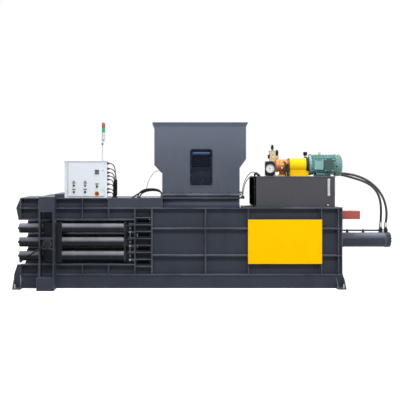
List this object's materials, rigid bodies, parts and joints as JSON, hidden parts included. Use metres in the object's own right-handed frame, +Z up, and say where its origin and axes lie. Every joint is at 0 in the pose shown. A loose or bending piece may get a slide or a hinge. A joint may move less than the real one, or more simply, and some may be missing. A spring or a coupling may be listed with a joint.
{
  "type": "recycling baler",
  "caption": "Horizontal closed-chamber baler: hopper over a press box, hydraulic ram, wired bale tunnel with squeeze walls, power unit on the roof and a control cabinet.",
  "frame": {"origin": "centre of the four anchor holes, on the floor plane", "axes": "+X from the bale outlet to the main cylinder, +Y away from the operator's side, +Z up"},
  "size_m": [6.539, 2.1406, 2.831],
  "materials": {
    "dark_paint": "satin anthracite paint",
    "hopper_paint": "satin grey paint",
    "yellow_paint": "glossy yellow paint",
    "cabinet_paint": "pale grey powder coat",
    "teal_paint": "green-teal machine paint",
    "copper_paint": "copper-tan painted casting",
    "red_paint": "red paint",
    "black_paint": "satin black paint",
    "bright_steel": "machined steel",
    "chromed_rod": "hard chromed and ground",
    "wear_steel": "hardened wear steel",
    "hose_rubber": "smooth hose cover",
    "cable_jacket": "matt cable jacket",
    "gland_plastic": "moulded nylon",
    "window_glass": "clear polycarbonate sheet",
    "level_glass": "clear acrylic tube",
    "button_black": "moulded",
    "button_red": "moulded",
    "button_green": "moulded",
    "button_white": "moulded",
    "lens_red": "translucent lens",
    "lens_green": "translucent lens",
    "stack_plastic": "moulded pale grey",
    "needle_black": "black anodised"
  },
  "bodies": {
    "frame": {"base_frame": "dark_paint", "floor_plate": "wear_steel", "near_wall": "dark_paint", "far_wall": "dark_paint", "rear_bulkhead": "dark_paint", "roof_deck": "dark_paint", "tunnel_beams": "dark_paint", "hinge_pins": "bright_steel", "squeeze_yoke": "dark_paint", "hopper": "hopper_paint", "window_frame": "dark_paint", "window_panes": "window_glass", "shear_knife": "wear_steel", "cylinder_barrel": "dark_paint", "cylinder_gland": "black_paint", "pipework": "black_paint", "tank": "dark_paint", "level_gauge": "level_glass", "tank_fittings": "black_paint", "motor_housing": "teal_paint", "fan_cover": "teal_paint", "terminal_box": "teal_paint", "bell_housing": "yellow_paint", "pump_body": "copper_paint", "valve_block": "copper_paint", "gauge_panel": "black_paint", "side_cover": "yellow_paint", "cabinet_shell": "cabinet_paint", "cable_fittings": "gland_plastic", "cabinet_cables": "cable_jacket", "hopper_cables": "cable_jacket", "thin_wires": "cable_jacket", "stack_pole": "stack_plastic", "green_lens": "lens_green", "red_lens": "lens_red", "pressure_hose": "hose_rubber", "return_hose": "hose_rubber"},
    "ram": {"ram_body": "dark_paint", "ram_knife": "wear_steel", "ram_tail": "red_paint", "piston_rod": "chromed_rod", "piston": "bright_steel"},
    "near_squeeze": {"near_squeeze_wall": "dark_paint"},
    "far_squeeze": {"far_squeeze_wall": "dark_paint"},
    "near_screw": {"near_squeeze_screw": "bright_steel"},
    "far_screw": {"far_squeeze_screw": "bright_steel"},
    "door": {"cabinet_door": "cabinet_paint", "switch_bodies": "button_black"},
    "start": {"start_button": "button_green"},
    "stop": {"stop_button": "button_red"},
    "advance": {"advance_button": "button_white"},
    "retract": {"retract_button": "button_black"},
    "selector": {"mode_selector": "button_black"},
    "emergency": {"emergency_stop": "button_red"},
    "drive": {"motor_rotor": "bright_steel", "shaft_coupling": "bright_steel", "pump_shaft": "bright_steel"},
    "relief": {"relief_knob": "black_paint"},
    "unloading": {"unloading_knob": "black_paint"},
    "needle": {"gauge_needle": "needle_black"}
  },
  "joints": [
    {"name": "ram_stroke", "type": "slide", "parent": "frame", "child": "ram", "axis": [-1, 0, 0], "range_m": [0, 1.77]},
    {"name": "near_squeeze_swing", "type": "hinge", "parent": "frame", "child": "near_squeeze", "pos_m": [-0.836, -0.568, 0.788], "axis": [0, 0, -1], "range_deg": [0, 1.65]},
    {"name": "far_squeeze_swing", "type": "hinge", "parent": "frame", "child": "far_squeeze", "pos_m": [-0.836, 0.568, 0.788], "axis": [0, 0, 1], "range_deg": [0, 1.65]},
    {"name": "near_screw_turn", "type": "hinge", "parent": "frame", "child": "near_screw", "pos_m": [-2.2, -0.9, 0.788], "axis": [0, -1, 0], "range_deg": [0, 1440]},
    {"name": "far_screw_turn", "type": "hinge", "parent": "frame", "child": "far_screw", "pos_m": [-2.2, 0.9, 0.788], "axis": [0, 1, 0], "range_deg": [0, 1440]},
    {"name": "door_swing", "type": "hinge", "parent": "frame", "child": "door", "pos_m": [-1.892, -0.61, 1.85], "axis": [0, 0, -1], "range_deg": [0, 110]},
    {"name": "start_press", "type": "slide", "parent": "door", "child": "start", "axis": [0, 1, 0], "range_m": [0, 0.005], "stiffness_N_per_m": 600},
    {"name": "stop_press", "type": "slide", "parent": "door", "child": "stop", "axis": [0, 1, 0], "range_m": [0, 0.005], "stiffness_N_per_m": 600},
    {"name": "advance_press", "type": "slide", "parent": "door", "child": "advance", "axis": [0, 1, 0], "range_m": [0, 0.005], "stiffness_N_per_m": 600},
    {"name": "retract_press", "type": "slide", "parent": "door", "child": "retract", "axis": [0, 1, 0], "range_m": [0, 0.005], "stiffness_N_per_m": 600},
    {"name": "emergency_press", "type": "slide", "parent": "door", "child": "emergency", "axis": [0, 1, 0], "range_m": [0, 0.006], "stiffness_N_per_m": 900},
    {"name": "selector_turn", "type": "hinge", "parent": "door", "child": "selector", "pos_m": [-1.396, -0.63, 1.734], "axis": [0, 1, 0], "range_deg": [-45, 45]},
    {"name": "drive_spin", "type": "hinge", "parent": "frame", "child": "drive", "pos_m": [2.2, -0.12, 2.097], "axis": [1, 0, 0], "continuous": true},
    {"name": "relief_turn", "type": "hinge", "parent": "frame", "child": "relief", "pos_m": [1.644, -0.12, 2.4], "axis": [0, 0, 1], "range_deg": [0, 720]},
    {"name": "unloading_turn", "type": "hinge", "parent": "frame", "child": "unloading", "pos_m": [1.726, -0.12, 2.3], "axis": [0, 0, 1], "range_deg": [0, 720]},
    {"name": "needle_sweep", "type": "hinge", "parent": "frame", "child": "needle", "pos_m": [1.5585, -0.512, 2.04], "axis": [0, 1, 0], "range_deg": [0, 270]}
  ],
  "couplings": [
    {"joint": "near_squeeze_swing", "follows": "near_screw_turn", "ratio": 0.0011458},
    {"joint": "far_squeeze_swing", "follows": "far_screw_turn", "ratio": 0.0011458}
  ]
}
